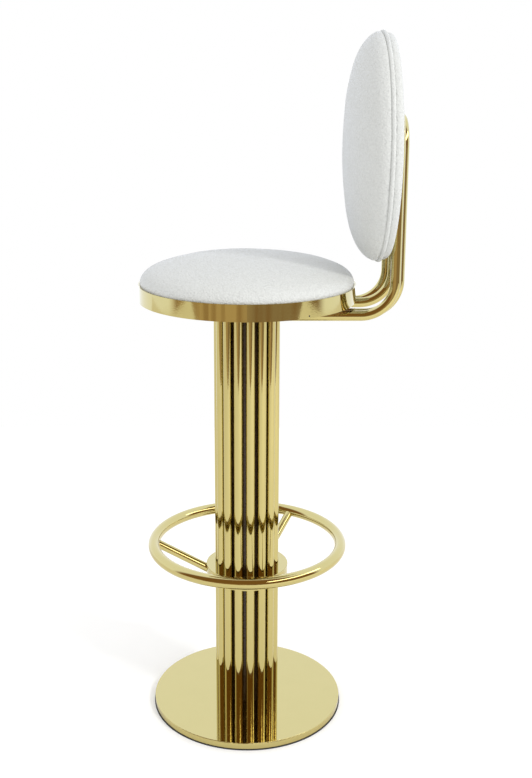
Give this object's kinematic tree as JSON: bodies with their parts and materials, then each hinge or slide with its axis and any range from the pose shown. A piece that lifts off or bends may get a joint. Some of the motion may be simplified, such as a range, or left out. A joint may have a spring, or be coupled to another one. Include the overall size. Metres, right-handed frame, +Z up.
{
  "type": "bar stool",
  "caption": "Bar stool with a fluted column of upright brass tubes, a round weighted base, a ring footrest, a round upholstered swivel seat and a round padded back on bent tubes.",
  "frame": {"origin": "middle of the underside of the base, on the floor", "axes": "+Z up along the column; +Y from the seat's front towards the back cushion; the sitter faces -Y"},
  "size_m": [0.3486, 0.4153, 1.1207],
  "materials": {
    "polished_brass": "mirror polished, lacquered",
    "white_leather": "fine pebble grain, semi matt",
    "black_post": "satin dark bronze paint",
    "plain_steel": "turned, zinc plated",
    "screw_steel": "black oxide",
    "bearing_bronze": "turned",
    "plywood": "sawn",
    "foam": "open-cell foam",
    "wadding": "polyester wadding",
    "felt": "pressed felt",
    "plug_plastic": "moulded"
  },
  "bodies": {
    "stand": {"base_plate": "polished_brass", "floor_pad": "felt", "base_bolts": "screw_steel", "column_foot_plate": "plain_steel", "core_post": "black_post", "column_tube_01": "polished_brass", "column_tube_02": "polished_brass", "column_tube_03": "polished_brass", "column_tube_04": "polished_brass", "column_tube_05": "polished_brass", "column_tube_06": "polished_brass", "column_tube_07": "polished_brass", "column_tube_08": "polished_brass", "column_tube_09": "polished_brass", "column_tube_10": "polished_brass", "column_tube_11": "polished_brass", "column_tube_12": "polished_brass", "column_tube_13": "polished_brass", "column_tube_14": "polished_brass", "column_tube_15": "polished_brass", "column_cap": "polished_brass", "footrest_collar": "polished_brass", "footrest_spoke_1": "polished_brass", "footrest_spoke_2": "polished_brass", "footrest_spoke_3": "polished_brass", "footrest_ring": "polished_brass", "bearing_housing": "plain_steel", "housing_screws": "screw_steel", "upper_bush": "bearing_bronze", "lower_bush": "bearing_bronze", "thrust_washer": "bearing_bronze"},
    "seat": {"swivel_spindle": "plain_steel", "spindle_circlip": "screw_steel", "keeper_washer": "screw_steel", "swivel_flange": "plain_steel", "flange_screws": "screw_steel", "seat_plate": "plain_steel", "seat_screws": "screw_steel", "seat_board": "plywood", "seat_foam": "foam", "seat_cover": "white_leather", "seat_band": "polished_brass", "band_screws": "screw_steel", "back_hoop_outer": "polished_brass", "back_hoop_inner": "polished_brass", "hoop_end_plugs": "plug_plastic", "cross_bar_lower": "polished_brass", "cross_bar_upper": "polished_brass", "back_screws": "screw_steel", "board_inserts": "screw_steel", "back_board": "plywood", "back_wadding": "wadding", "back_foam": "foam", "back_front_cover": "white_leather", "back_rear_cover": "white_leather", "back_piping": "white_leather"}
  },
  "joints": [
    {"name": "seat_swivel", "type": "hinge", "parent": "stand", "child": "seat", "pos_m": [0, 0, 0.698], "axis": [0, 0, 1], "continuous": true}
  ]
}
